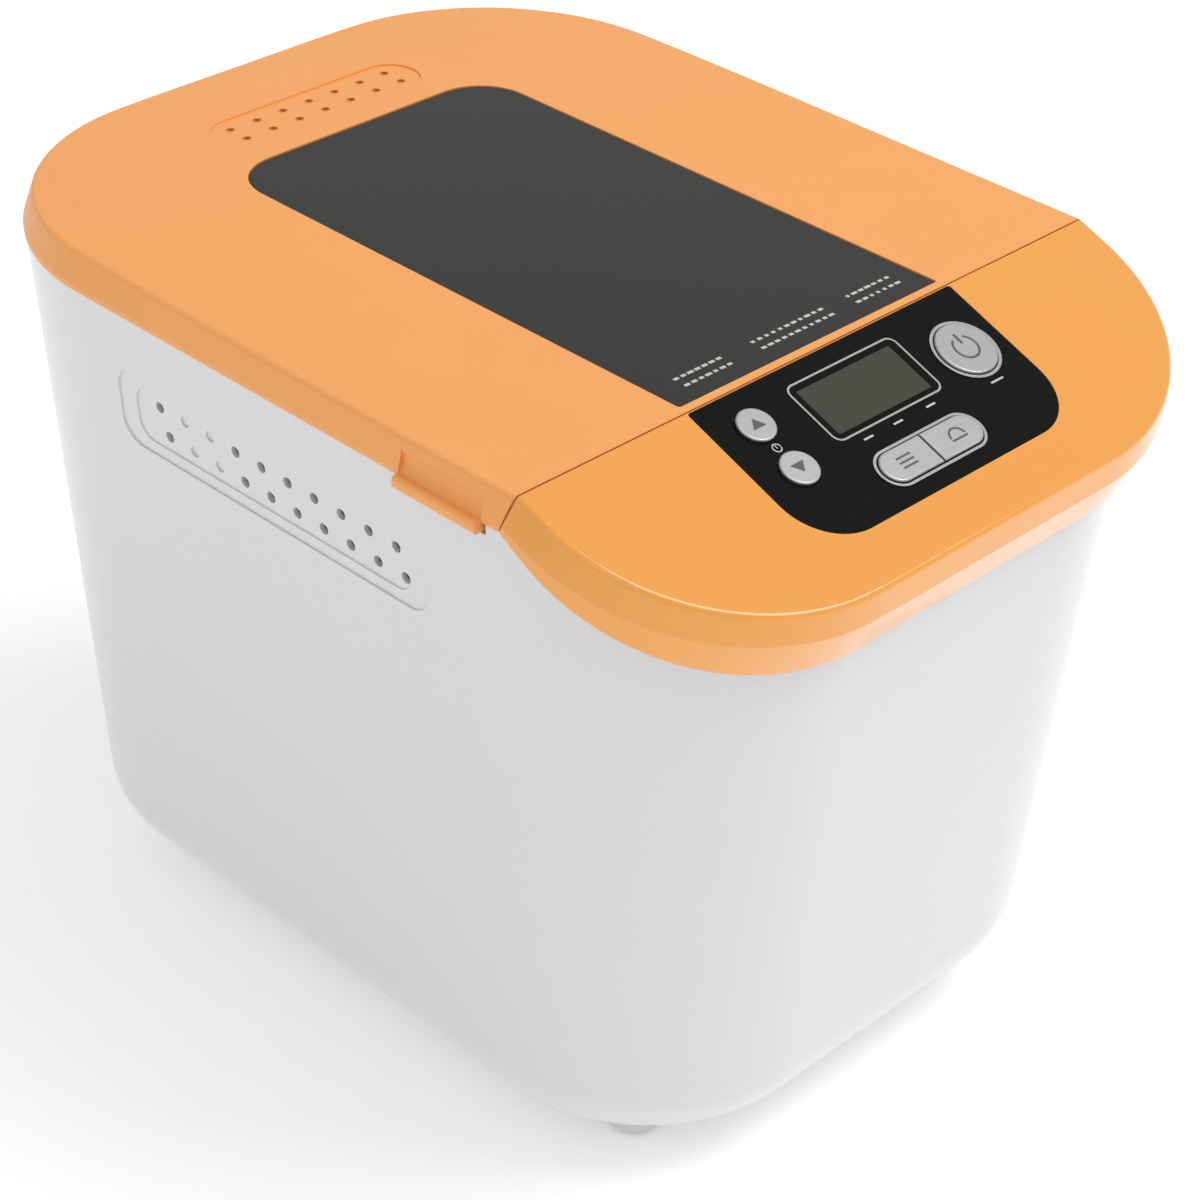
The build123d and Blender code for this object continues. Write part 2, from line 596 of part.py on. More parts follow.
def make_heating_element():
    """A tubular heater that runs round the chamber and out through its front wall."""
    front, near = CHAMBER_Y - CHAMBER_HALF_L - 14, CHAMBER_Y - HEATER_HALF_L
    far = CHAMBER_Y + HEATER_HALF_L
    w, x = HEATER_HALF_W, TERMINAL_X
    points = [(-x, front), (-x, near), (-w, near), (-w, far), (w, far), (w, near), (x, near), (x, front)]
    bends = [6.0] + [14.0] * 4 + [6.0]
    route = FilletPolyline(*[(px, py, HEATER_Z) for px, py in points], radius=bends)
    start = Plane(origin=route @ 0, z_dir=route % 0)
    return sweep(start * Circle(HEATER_R), path=route)


def make_heater_bushings():
    front = CHAMBER_Y - CHAMBER_HALF_L
    along_y = Rot(90, 0, 0)
    bushes = []
    for x in (-TERMINAL_X, TERMINAL_X):
        bush = Pos(x, front - 1.4, HEATER_Z) * along_y * Cylinder(5.0, 6.8)
        bush += Pos(x, front - 2.4, HEATER_Z) * along_y * Cylinder(7.5, 4.8)
        bushes.append(bush - Pos(x, front, HEATER_Z) * along_y * Cylinder(HEATER_R, 30))
    return bushes


def make_heater_clips():
    """Small brackets that hold the heater off the chamber's long walls."""
    clips = []
    inner = CHAMBER_HALF_W - SHEET
    for x in (-1, 1):
        for dy in (-45, 45):
            y_span = (CHAMBER_Y + dy - 4, CHAMBER_Y + dy + 4)
            arm_top = HEATER_Z - HEATER_R - 0.1
            arm = span_box(sorted((x * (HEATER_HALF_W - 2), x * inner)), y_span, (arm_top - 1.4, arm_top))
            foot = span_box(sorted((x * (inner - 1.2), x * inner)), y_span, (HEATER_Z - 10, HEATER_Z + 8))
            clips.append(arm + foot)
    return clips


def make_temperature_sensor():
    x = CHAMBER_HALF_W
    probe = cross_rod(x - 7, x + 9, CHAMBER_Y, 110, 3.0)
    collar = cross_rod(x, x + 3, CHAMBER_Y, 110, 6.0)
    neck = cross_rod(x - SHEET, x, CHAMBER_Y, 110, 4.0)
    return probe + collar + neck


def make_pan_mount():
    """The cast seat on the chamber floor that the pan's ring locks into."""
    low = CHAMBER_FLOOR + SHEET
    seat = tube(0, CHAMBER_Y, low, low + 3.2, 52.0, 18.0)
    lug = span_box((PAN_RING_R + 0.8, 51.0), (-7, 7), (low + 3.0, low + 12))
    seat += [Pos(0, CHAMBER_Y, 0) * Rot(0, 0, turn) * lug for turn in (30, 150, 210, 330)]
    return seat


# ---- Pan ----------------------------------------------------------------------------
def pan_block(by, z_low, z_high):
    low, high = [centred(half_w - by, half_l - by, r - by) for half_w, half_l, r in (PAN_LOW, PAN_HIGH)]
    return frustum(low, PAN_FLOOR, high, PAN_RIM) & span_box((-BIG, BIG), (-BIG, BIG), (z_low, z_high))


def make_pan_body():
    """The bread pan: a drawn, tapered box with a rim, side ears and a locking ring."""
    pan = fillet(pan_block(0, PAN_FLOOR, PAN_RIM).edges().group_by(Axis.Z)[0], 6.0)
    half_w, half_l, radius = PAN_HIGH
    pan += prism(centred(half_w + 3.0, half_l + 3.0, radius + 3.0), PAN_RIM - PAN_WALL, PAN_RIM)
    for side in (-1, 1):
        x_span = sorted((side * 58.5, side * (BAIL_X - BAIL_R - 0.4)))
        pan += cross_rod(*x_span, CHAMBER_Y, BAIL_Z, 5.5)
    ring = tube(0, CHAMBER_Y, CHAMBER_FLOOR + SHEET + 3.5, PAN_FLOOR + 1.0, PAN_RING_R, PAN_RING_R - 2.4)
    hollow = pan_block(PAN_WALL, PAN_FLOOR + PAN_WALL, PAN_RIM)
    hollow = fillet(hollow.edges().group_by(Axis.Z)[0], 5.0)
    pan = pan + ring - hollow - prism(centred(half_w - PAN_WALL, half_l - PAN_WALL, radius - PAN_WALL),
                                      PAN_RIM - 0.01, PAN_RIM + 5)
    pan -= rod(0, CHAMBER_Y, PAN_FLOOR - 10, PAN_FLOOR + 10, 8.0)
    for side in (-1, 1):
        x_span = sorted((side * (BAIL_X - 5.4), side * (BAIL_X + 5)))
        pan -= cross_rod(*x_span, CHAMBER_Y, BAIL_Z, BAIL_R + RUN_GAP)
    return pan


def make_pan_bush():
    return tube(0, CHAMBER_Y, 68.4, 75.4, 8.0, SHAFT_R + RUN_GAP)


def make_pan_shaft():
    """The pan's own shaft with the two-armed coupling under the pan."""
    arms = Pos(0, CHAMBER_Y, 65.8) * Box(5, 27, 4)
    return rod(0, CHAMBER_Y, 63.8, 92, SHAFT_R) + fillet(arms.edges().filter_by(Axis.Z), 1.5)


def make_kneading_paddle():
    """A hub that slips over the shaft, with one tapered blade."""
    low = 75.8
    outline_xz = Polyline((0, low), (41, low), (43, low + 3), (36, low + 22), (14, low + 34), (0, low + 34),
                          close=True)
    blade = Pos(0, CHAMBER_Y + 2.0, 0) * extrude(Plane.XZ * make_face(outline_xz), 4.0)
    hub = rod(0, CHAMBER_Y, low, low + 36, 7.5)
    hub = fillet(hub.edges().group_by(Axis.Z)[-1], 3.0)
    blade = fillet(blade.edges().filter_by(Axis.Y), 1.8)
    return hub + blade - rod(0, CHAMBER_Y, low - 1, 92, SHAFT_R)


def make_bail_handle():
    """A wire bail that lies folded round one end of the pan."""
    x, far = BAIL_X, CHAMBER_Y + BAIL_REACH
    end = x - 5.2
    points = [(-end, CHAMBER_Y), (-x, CHAMBER_Y), (-x, far), (x, far), (x, CHAMBER_Y), (end, CHAMBER_Y)]
    route = FilletPolyline(*[(px, py, BAIL_Z) for px, py in points], radius=[2.4, 16.0, 16.0, 2.4])
    start = Plane(origin=route @ 0, z_dir=route % 0)
    return sweep(start * Circle(BAIL_R), path=route)


# ---- Chassis and drive --------------------------------------------------------------
def leg_spots():
    return [(x, y) for x in (-51.0, 51.0) for y in (-46.0, 74.0)]


def leg_screw_spots():
    return [(x, y + 6) for x, y in leg_spots()]


def bearing_screw_spots():
    return [(x, CHAMBER_Y + dy) for x in (-14.0, 14.0) for dy in (-14.0, 14.0)]


def make_chassis():
    """The bent plate that carries the chamber, the shaft bearing and the motor."""
    high = PLATE_Z + PLATE_T
    plate = prism((60.0, -62.0, 84.0, 8.0, 8.0), PLATE_Z, high)
    plate += prism((37.0, -131.0, -50.0, 14.0, 1.0), PLATE_Z, high)
    base_top = FOOT_H + BODY_WALL + BASE_T
    for x, y in leg_spots():
        plate += span_box((x - 7, x + 7), (y - 1, y + 1), (base_top, high))
        plate += span_box((x - 7, x + 7), (y - 1, y + 11), (base_top, base_top + 2))
    plate -= [rod(0, CHAMBER_Y, 0, 80, 10.5), rod(0, MOTOR_Y, 0, 80, 12.0)]
    plate -= [rod(x, y, 30, 60, 1.5) for x, y in motor_bolt_spots() + bearing_screw_spots()]
    return plate - [rod(x, y, 0, 20, 1.5) for x, y in leg_screw_spots()]


def make_chassis_screws():
    """The screws of the chassis feet and of the bearing flange."""
    base_top = FOOT_H + BODY_WALL + BASE_T
    screws = [screw(Pos(x, y, base_top + 2), 3.2) for x, y in leg_screw_spots()]
    return screws + [screw(Pos(x, y, BEARING_FLANGE_TOP), 5.0) for x, y in bearing_screw_spots()]


def make_chamber_supports():
    """Spacers between the chassis plate and the chamber floor."""
    spots = [(x, CHAMBER_Y + dy) for x in (-50, 50) for dy in (-55, 55)]
    return [rod(x, y, PLATE_Z + PLATE_T, CHAMBER_FLOOR, 4.5) for x, y in spots]


def make_bearing_housing():
    low = PLATE_Z + PLATE_T
    housing = rod(0, CHAMBER_Y, low, BEARING_FLANGE_TOP, 26.0) + rod(0, CHAMBER_Y, low, BEARING_TOP, 11.5)
    housing -= [rod(x, y, low - 1, low + 5, 1.5) for x, y in bearing_screw_spots()]
    return housing - rod(0, CHAMBER_Y, 0, 80, 7.0)


def make_drive_bush():
    return tube(0, CHAMBER_Y, PLATE_Z + 1, BEARING_TOP + 0.4, 7.0, SHAFT_R + RUN_GAP)


def grooved_pulley(y, groove_r, bore_r, flange):
    """A flanged pulley for the flat belt."""
    half = BELT_H / 2 + 0.2
    wheel = rod(0, y, BELT_Z - half - 2, BELT_Z + half + 2, groove_r + flange)
    wheel -= tube(0, y, BELT_Z - half, BELT_Z + half, groove_r + 2 * flange, groove_r)
    return wheel - rod(0, y, 0, 80, bore_r)


def make_drive_pulley():
    wheel = grooved_pulley(CHAMBER_Y, BIG_PULLEY_R, SHAFT_R, 2.6)
    half = BELT_H / 2 + 2.2
    for low, high in ((BELT_Z + 1.5, BELT_Z + half), (BELT_Z - half, BELT_Z - 1.5)):
        wheel -= tube(0, CHAMBER_Y, low, high, BIG_PULLEY_R - 4, 10.0)
    for place in PolarLocations(24.0, 6):
        wheel -= Pos(0, CHAMBER_Y, BELT_Z) * place * Cylinder(7.0, 10)
    return wheel


def make_motor_pulley():
    return grooved_pulley(MOTOR_Y, SMALL_PULLEY_R, MOTOR_SHAFT_R, 2.2)


def belt_loop(grow):
    """The outline of a belt run round both pulleys."""
    big = Pos(0, CHAMBER_Y) * Circle(BIG_PULLEY_R + grow)
    small = Pos(0, MOTOR_Y) * Circle(SMALL_PULLEY_R + grow)
    return make_hull(big.edges() + small.edges())


def make_drive_belt():
    ring = belt_loop(BELT_GAP + BELT_T) - belt_loop(BELT_GAP)
    return Pos(0, 0, BELT_Z - BELT_H / 2) * extrude(ring, BELT_H)


def make_drive_shaft():
    return rod(0, CHAMBER_Y, 22.0, 63.0, SHAFT_R)


def make_drive_coupling():
    """The driving dog: a disc with two lugs that push the pan's coupling round."""
    dog = rod(0, CHAMBER_Y, 59.4, 63.0, 15.0)
    for side in (-1, 1):
        dog += Pos(side * 11.0, CHAMBER_Y, 65.0) * Box(5, 5, 5)
    return dog - rod(0, CHAMBER_Y, 0, 63.0, SHAFT_R)


def motor_bolt_spots():
    return [(x, MOTOR_Y + dy) for x in (-BOLT_X, BOLT_X) for dy in (-BOLT_Y, BOLT_Y)]


def make_motor_stack():
    """The laminated core of the kneading motor."""
    low, high = STACK
    plan = (STACK_W / 2, MOTOR_Y - STACK_L / 2, MOTOR_Y + STACK_L / 2, 5.0, 5.0)
    core = prism(plan, low, high) - rod(0, MOTOR_Y, low - 1, high + 1, ROTOR_R + 0.4)
    return core - [rod(x, y, low - 1, high + 1, 1.5) for x, y in motor_bolt_spots()]


def make_motor_windings():
    low, high = STACK
    return [tube(0, MOTOR_Y, low - 8, low, 20.5, 15.4), tube(0, MOTOR_Y, high, high + 8, 20.5, 15.4)]


def motor_bell(z_plate, z_near):
    """A bridge over one end of the motor, with a shaft bush in its middle."""
    low, high = sorted((z_plate, z_plate + 4.0))
    plan = (BOLT_X + 4, MOTOR_Y - BOLT_Y - 4, MOTOR_Y + BOLT_Y + 4, 6.0, 6.0)
    bell = prism(plan, low, high) - prism(shrunk(plan, 8.0)[:3] + (3.0, 3.0), low - 1, high + 1)
    bell += span_box((-BOLT_X - 2, BOLT_X + 2), (MOTOR_Y - 7, MOTOR_Y + 7), (low, high))
    near_low, near_high = sorted((z_near, low if z_near < low else high))
    bell += [rod(x, y, near_low, near_high, 3.6) for x, y in motor_bolt_spots()]
    bell -= [rod(x, y, 0, 150, 1.5) for x, y in motor_bolt_spots()]
    return bell - rod(0, MOTOR_Y, 0, 150, MOTOR_SHAFT_R + RUN_GAP)


def make_motor_bells():
    low, high = STACK
    return [motor_bell(49.0, low), motor_bell(high + 9.0, high)]


def make_motor_grommets():
    """Rubber washers between the motor and the chassis."""
    return [tube(x, y, PLATE_Z + PLATE_T, 49.0, 4.6, 1.5) for x, y in motor_bolt_spots()]


def make_motor_screws():
    top = STACK[1] + 13.0
    return [screw(Pos(x, y, top), top - PLATE_Z + 2.0) for x, y in motor_bolt_spots()]


def make_motor_rotor():
    low, high = STACK
    rotor = rod(0, MOTOR_Y, low + 0.5, high - 0.5, ROTOR_R)
    return rotor + rod(0, MOTOR_Y, 24.0, high + 16.0, MOTOR_SHAFT_R)


# ---- Power electronics --------------------------------------------------------------
def bracket_spots():
    return [(BRACKET_Y - 4.0, PLATE_Z + up) for up in (28.0, 98.0)]


def make_power_board():
    x = POWER_BOARD_X
    board = span_box((x, x + 1.6), (-126.0, BRACKET_Y), (PLATE_Z + 20, PLATE_Z + 108))
    return board - [cross_rod(x - 1, x + 3, y, z, 1.5) for y, z in bracket_spots()]


def make_board_bracket():
    """The bent strip that stands the power board on the chassis side."""
    x, low = POWER_BOARD_X + 1.6, PLATE_Z + PLATE_T
    y_span = (BRACKET_Y - 8.0, BRACKET_Y)
    foot = span_box((31.0, x + 1.2), y_span, (low, low + 1.2))
    upright = span_box((x, x + 1.2), y_span, (low, low + 100))
    return foot + upright - [cross_rod(x - 1, x + 3, y, z, 1.5) for y, z in bracket_spots()]


def make_board_parts():
    """Transformer, relay and filter capacitor on the power board."""
    x = POWER_BOARD_X + 1.6
    transformer = span_box((x, x + 20), (-122, -98), (PLATE_Z + 30, PLATE_Z + 52))
    relay = span_box((x, x + 15), (-118, -100), (PLATE_Z + 60, PLATE_Z + 82))
    capacitor = span_box((x, x + 12), (-120, -96), (PLATE_Z + 88, PLATE_Z + 104))
    return [fillet(block.edges().filter_by(Axis.X), 1.5) for block in (transformer, relay, capacitor)]


# ---- Hinge --------------------------------------------------------------------------
def bracket_screw_spots():
    return [(side * (HINGE_X + dx), HINGE_Z - 17.5) for side in (-1, 1) for dx in (-7.0, 7.0)]


def make_hinge_brackets():
    """Two fixed knuckles on plates that screw to the body's rear wall."""
    brackets = []
    for side in (-1, 1):
        x = side * HINGE_X
        half = KNUCKLE_L / 2
        plate = span_box((x - 12, x + 12), (REAR_Y - 10, REAR_Y + 2.4), (HINGE_Z - 23.5, HINGE_Z - 6.5))
        plate = fillet(plate.edges().filter_by(Axis.Y), 3.0)
        arm = span_box((x - half, x + half), (REAR_Y - 4, HINGE_Y + HINGE_R), (HINGE_Z - 13.5, HINGE_Z))
        slant = tilted((0, HINGE_Y + HINGE_R, HINGE_Z - 6.5), (0, 0.72, -0.69))
        arm -= beyond(slant)
        bracket = plate + arm + cross_rod(x - half, x + half, HINGE_Y, HINGE_Z, HINGE_R)
        bracket -= body_block(0) + span_box((-BIG, BIG), (0, REAR_Y - 0.2), (SKIRT_Z - RIM_GAP - 2, BIG))
        bracket -= cross_rod(-BIG / 2, BIG / 2, HINGE_Y, HINGE_Z, PIN_R)
        brackets.append(bracket)
    for x, z in bracket_screw_spots():
        hole = Pos(x, REAR_Y, z) * Rot(90, 0, 0) * Cylinder(1.5, 20)
        brackets = [bracket - hole for bracket in brackets]
    return brackets


def make_hinge_screws():
    spots = bracket_screw_spots()
    return [screw(Pos(x, REAR_Y + 2.4, z) * Rot(-90, 0, 0), 9.0, head_r=2.6) for x, z in spots]


def make_hinge_pins():
    half = KNUCKLE_L / 2 + KNUCKLE_GAP + LID_KNUCKLE_L + 0.6
    centres = (-HINGE_X, HINGE_X)
    return [cross_rod(x - half, x + half, HINGE_Y, HINGE_Z, PIN_R) for x in centres]


# ---- Export -------------------------------------------------------------------------
def build_nodes():
    nodes = {
        "housing_shell": make_housing_shell(),
        "feet": make_feet(),
        "foot_pads": make_foot_pads(),
        "base_plate": make_base_plate(),
        "base_screws": make_base_screws(),
        "cord_gland": make_cord_gland(),
        "top_deck": make_top_deck(),
        "control_cover": make_control_cover(),
        "control_panel": make_control_panel(),
        "panel_trim": make_panel_trim(),
        "display_lens": make_display_lens(),
        "display_module": make_display_module(),
        "control_board": make_control_board(),
        "button_switches": make_button_switches(),
        "chamber": make_chamber(),
        "chamber_supports": make_chamber_supports(),
        "heating_element": make_heating_element(),
        "heater_bushings": make_heater_bushings(),
        "heater_clips": make_heater_clips(),
        "temperature_sensor": make_temperature_sensor(),
        "pan_mount": make_pan_mount(),
        "chassis": make_chassis(),
        "chassis_screws": make_chassis_screws(),
        "bearing_housing": make_bearing_housing(),
        "drive_bush": make_drive_bush(),
        "drive_shaft": make_drive_shaft(),
        "drive_pulley": make_drive_pulley(),
        "drive_coupling": make_drive_coupling(),
        "drive_belt": make_drive_belt(),
        "motor_stack": make_motor_stack(),
        "motor_windings": make_motor_windings(),
        "motor_bells": make_motor_bells(),
        "motor_grommets": make_motor_grommets(),
        "motor_screws": make_motor_screws(),
        "motor_rotor": make_motor_rotor(),
        "motor_pulley": make_motor_pulley(),
        "power_board": make_power_board(),
        "board_bracket": make_board_bracket(),
        "board_parts": make_board_parts(),
        "board_screws": make_board_screws(),
        "hinge_brackets": make_hinge_brackets(),
        "hinge_screws": make_hinge_screws(),
        "hinge_pins": make_hinge_pins(),
        "lid_cover": make_lid_cover(),
        "lid_window": make_lid_window(),
        "lid_inner_frame": make_lid_inner_frame(),
        "lid_liner": make_lid_liner(),
        "lid_inner_glass": make_lid_inner_glass(),
        "lid_seal": make_lid_seal(),
        "lid_screws": make_lid_screws(),
        "pan_body": make_pan_body(),
        "pan_bush": make_pan_bush(),
        "pan_shaft": make_pan_shaft(),
        "kneading_paddle": make_kneading_paddle(),
        "bail_handle": make_bail_handle(),
    }
    for name, (x, s), sketch in button_specs():
        nodes[name] = make_button(x, s, sketch)
    return nodes


def main():
    os.makedirs("parts", exist_ok=True)
    for name, shape in build_nodes().items():
        solid = Compound(children=shape) if isinstance(shape, list) else shape
        export_step(solid, os.path.join("parts", name + ".step"))


main()
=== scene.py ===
import json
import math

import bmesh
import bpy
from mathutils import Matrix, Vector


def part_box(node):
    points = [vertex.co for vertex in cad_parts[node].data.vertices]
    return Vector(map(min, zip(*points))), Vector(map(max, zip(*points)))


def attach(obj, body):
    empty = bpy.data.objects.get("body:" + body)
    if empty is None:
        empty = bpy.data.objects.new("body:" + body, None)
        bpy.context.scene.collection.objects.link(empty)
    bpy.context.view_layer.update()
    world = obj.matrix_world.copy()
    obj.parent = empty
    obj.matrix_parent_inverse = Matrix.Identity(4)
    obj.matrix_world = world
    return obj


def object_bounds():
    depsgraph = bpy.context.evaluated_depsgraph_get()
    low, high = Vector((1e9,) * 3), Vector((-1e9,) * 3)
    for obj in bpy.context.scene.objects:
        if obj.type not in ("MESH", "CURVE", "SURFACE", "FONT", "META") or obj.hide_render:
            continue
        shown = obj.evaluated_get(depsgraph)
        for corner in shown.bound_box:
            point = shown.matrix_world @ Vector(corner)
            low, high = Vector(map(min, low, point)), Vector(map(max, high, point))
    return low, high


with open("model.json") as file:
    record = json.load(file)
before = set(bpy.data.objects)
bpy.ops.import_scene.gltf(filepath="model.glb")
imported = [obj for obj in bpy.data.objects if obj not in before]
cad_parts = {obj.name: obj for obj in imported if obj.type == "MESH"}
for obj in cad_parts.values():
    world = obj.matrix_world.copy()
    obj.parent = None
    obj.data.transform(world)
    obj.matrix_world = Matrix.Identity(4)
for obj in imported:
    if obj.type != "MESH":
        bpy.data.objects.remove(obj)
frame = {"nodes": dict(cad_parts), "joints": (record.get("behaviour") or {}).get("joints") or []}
CAD_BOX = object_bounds()

bl_info = {
    "name": "Bread Machine Dresser",
    "version": (1, 0, 0),
    "blender": (4, 5, 0),
    "location": "View3D > Sidebar > Bread Machine",
    "description": "Finishes, printed marks and a studio for a bread machine",
    "category": "Object",
}

MM = 0.001
WINDOW_SET_BACK = 3.15 * MM     # window pane's front edge behind the lid's seam
VENT_SET_BACK = 18.75 * MM      # middle of the lid's vent holes behind the window pane
SIGN_SCALE = 1.25               # growth of the key signs, which are drawn for a smaller key

# ---- Places taken from the frame ----------------------------------------------------
JOINTS = {joint["name"]: joint for joint in frame["joints"]}
PRESS = Vector(JOINTS["start_press"]["axis"])


def centre_of(node):
    low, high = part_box(node)
    return (Vector(low) + Vector(high)) / 2


def slope_matrix():
    """Local x across, y up the slope and z out of the panel's face."""
    out = -PRESS.normalized()
    across = Vector((1, 0, 0))
    up = out.cross(across)
    low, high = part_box("lid_window")
    origin = Vector((0, low[1] - WINDOW_SET_BACK, CAD_BOX[1][2]))
    matrix = Matrix((across, up, out)).transposed().to_4x4()
    matrix.translation = origin
    return matrix


SLOPE = slope_matrix()


def on_slope(point, height):
    """The place on the slope nearest to point, at a height above the slope's face."""
    local = SLOPE.inverted() @ Vector(point)
    return SLOPE @ Matrix.Translation((local.x, local.y, height))


# ---- Shader groups ------------------------------------------------------------------
def new_group(name, inputs, outputs):
    """An empty shader group; sockets are (name, kind, default)."""
    group = bpy.data.node_groups.new(name, "ShaderNodeTree")
    for label, kind, default in inputs:
        socket = group.interface.new_socket(name=label, in_out="INPUT", socket_type=kind)
        socket.default_value = default
    for label, kind in outputs:
        group.interface.new_socket(name=label, in_out="OUTPUT", socket_type=kind)
    return group, group.nodes.new("NodeGroupInput"), group.nodes.new("NodeGroupOutput")


def math_node(tree, operation, first, second):
    node = tree.nodes.new("ShaderNodeMath")
    node.operation = operation
    for socket, value in zip(node.inputs, (first, second)):
        if isinstance(value, (int, float)):
            socket.default_value = value
        else:
            tree.links.new(value, socket)
    return node.outputs[0]


def noise(tree, vector, scale, detail):
    node = tree.nodes.new("ShaderNodeTexNoise")
    node.inputs["Detail"].default_value = detail
    tree.links.new(vector, node.inputs["Vector"])
    tree.links.new(scale, node.inputs["Scale"])
    return node.outputs["Fac"]


def mix_colour(tree, factor, first, second):
    node = tree.nodes.new("ShaderNodeMix")
    node.data_type = "RGBA"
    tree.links.new(factor, node.inputs[0])
    tree.links.new(first, node.inputs[6])
    tree.links.new(second, node.inputs[7])
    return node.outputs[2]


SURFACE_OUTPUTS = [
    ("Color", "NodeSocketColor"),
    ("Roughness", "NodeSocketFloat"),
    ("Height", "NodeSocketFloat"),
]


def surface_inputs(scale):
    return [
        ("Color", "NodeSocketColor", (0.8, 0.8, 0.8, 1)),
        ("Shade", "NodeSocketColor", (0.7, 0.7, 0.7, 1)),
        ("Roughness", "NodeSocketFloat", 0.4),
        ("Spread", "NodeSocketFloat", 0.1),
        ("Scale", "NodeSocketFloat", scale),
    ]


def finish_surface_group(group, given, result, fine, coarse):
    """Colour drifts with the coarse pattern, roughness with both, height with the fine one."""
    colour = mix_colour(group, coarse, given.outputs["Color"], given.outputs["Shade"])
    group.links.new(colour, result.inputs["Color"])
    wander = math_node(group, "SUBTRACT", math_node(group, "ADD", fine, coarse), 1.0)
    change = math_node(group, "MULTIPLY", wander, given.outputs["Spread"])
    rough = math_node(group, "ADD", given.outputs["Roughness"], change)
    group.links.new(rough, result.inputs["Roughness"])
    group.links.new(fine, result.inputs["Height"])
    return group


def moulded_group():
    """The fine spark-eroded texture and slow shade drift of moulded or cast pieces."""
    group, given, result = new_group("Moulded surface", surface_inputs(2500.0), SURFACE_OUTPUTS)
    where = group.nodes.new("ShaderNodeTexCoord").outputs["Object"]
    fine = noise(group, where, given.outputs["Scale"], 3.0)
    coarse = noise(group, where, math_node(group, "MULTIPLY", given.outputs["Scale"], 0.01), 2.0)
    return finish_surface_group(group, given, result, fine, coarse)


def brushed_group():
    """Fine parallel scratches along X, as on rolled sheet and brushed metal paint."""
    group, given, result = new_group("Brushed surface", surface_inputs(900.0), SURFACE_OUTPUTS)
    where = group.nodes.new("ShaderNodeTexCoord").outputs["Object"]
    stretch = group.nodes.new("ShaderNodeMapping")
    stretch.inputs["Scale"].default_value = (0.03, 1.0, 1.0)
    group.links.new(where, stretch.inputs["Vector"])
    fine = noise(group, stretch.outputs[0], given.outputs["Scale"], 5.0)
    coarse = noise(group, where, math_node(group, "MULTIPLY", given.outputs["Scale"], 0.03), 2.0)
    return finish_surface_group(group, given, result, fine, coarse)


def speckle_group():
    """Small pale flecks, as in a sprayed non-stick coat."""
    inputs = [("Scale", "NodeSocketFloat", 900.0), ("Amount", "NodeSocketFloat", 0.3)]
    group, given, result = new_group("Speckle", inputs, [("Mask", "NodeSocketFloat")])
    where = group.nodes.new("ShaderNodeTexCoord").outputs["Object"]
    cells = group.nodes.new("ShaderNodeTexVoronoi")
    group.links.new(where, cells.inputs["Vector"])
    group.links.new(given.outputs["Scale"], cells.inputs["Scale"])
    near = math_node(group, "LESS_THAN", cells.outputs["Distance"], 0.16)
    group.links.new(math_node(group, "MULTIPLY", near, given.outputs["Amount"]), result.inputs["Mask"])
    return group


# ---- Materials ----------------------------------------------------------------------
def opaque(colour):
    return tuple(colour[:3]) + (1.0,)


def surface_material(name, pattern, colour, shade, roughness, spread, scale, bump, **constants):
    """A Principled material whose colour, roughness and bump come from a surface group."""
    material = bpy.data.materials.new(name)
    material.use_nodes = True
    tree = material.node_tree
    shader = tree.nodes["Principled BSDF"]
    group = tree.nodes.new("ShaderNodeGroup")
    group.node_tree = bpy.data.node_groups[pattern]
    group.inputs["Color"].default_value = opaque(colour)
    group.inputs["Shade"].default_value = opaque(shade)
    group.inputs["Roughness"].default_value = roughness
    group.inputs["Spread"].default_value = spread
    group.inputs["Scale"].default_value = scale
    relief = tree.nodes.new("ShaderNodeBump")
    relief.inputs["Strength"].default_value = bump
    relief.inputs["Distance"].default_value = 0.1 * MM
    tree.links.new(group.outputs["Color"], shader.inputs["Base Color"])
    tree.links.new(group.outputs["Roughness"], shader.inputs["Roughness"])
    tree.links.new(group.outputs["Height"], relief.inputs["Height"])
    tree.links.new(relief.outputs["Normal"], shader.inputs["Normal"])
    for label, value in constants.items():
        shader.inputs[label.replace("_", " ").title().replace("Ior", "IOR")].default_value = value
    return material


def moulded(name, colour, roughness, spread=0.06, scale=2500.0, bump=0.15, drift=0.94, **constants):
    shade = tuple(channel * drift for channel in colour)
    return surface_material(
        name, "Moulded surface", colour, shade, roughness, spread, scale, bump, **constants
    )


def brushed(name, colour, roughness, spread=0.12, scale=900.0, bump=0.12, drift=0.85):
    shade = tuple(channel * drift for channel in colour)
    return surface_material(
        name, "Brushed surface", colour, shade, roughness, spread, scale, bump, metallic=1.0
    )


def speckled(name, colour, fleck, roughness):
    """A moulded finish with flecks mixed into its colour."""
    material = moulded(name, colour, roughness, spread=0.1, scale=1800.0, bump=0.3)
    tree = material.node_tree
    shader = tree.nodes["Principled BSDF"]
    base = shader.inputs["Base Color"].links[0].from_socket
    flecks = tree.nodes.new("ShaderNodeGroup")
    flecks.node_tree = bpy.data.node_groups["Speckle"]
    mix = tree.nodes.new("ShaderNodeMix")
    mix.data_type = "RGBA"
    mix.inputs[7].default_value = opaque(fleck)
    tree.links.new(flecks.outputs["Mask"], mix.inputs[0])
    tree.links.new(base, mix.inputs[6])
    tree.links.new(mix.outputs[2], shader.inputs["Base Color"])
    return material


def clear(name, colour, roughness, alpha, **constants):
    """Thin glass that shows what is behind it."""
    return moulded(name, colour, roughness, spread=0.02, bump=0.004, alpha=alpha, **constants)


def paint(node, material):
    """Gives a CAD node one material in all its slots."""
    mesh = frame["nodes"][node].data
    if not mesh.materials:
        mesh.materials.append(material)
    for index in range(len(mesh.materials)):
        mesh.materials[index] = material


def paint_all(nodes, material):
    for node in nodes:
        paint(node, material)


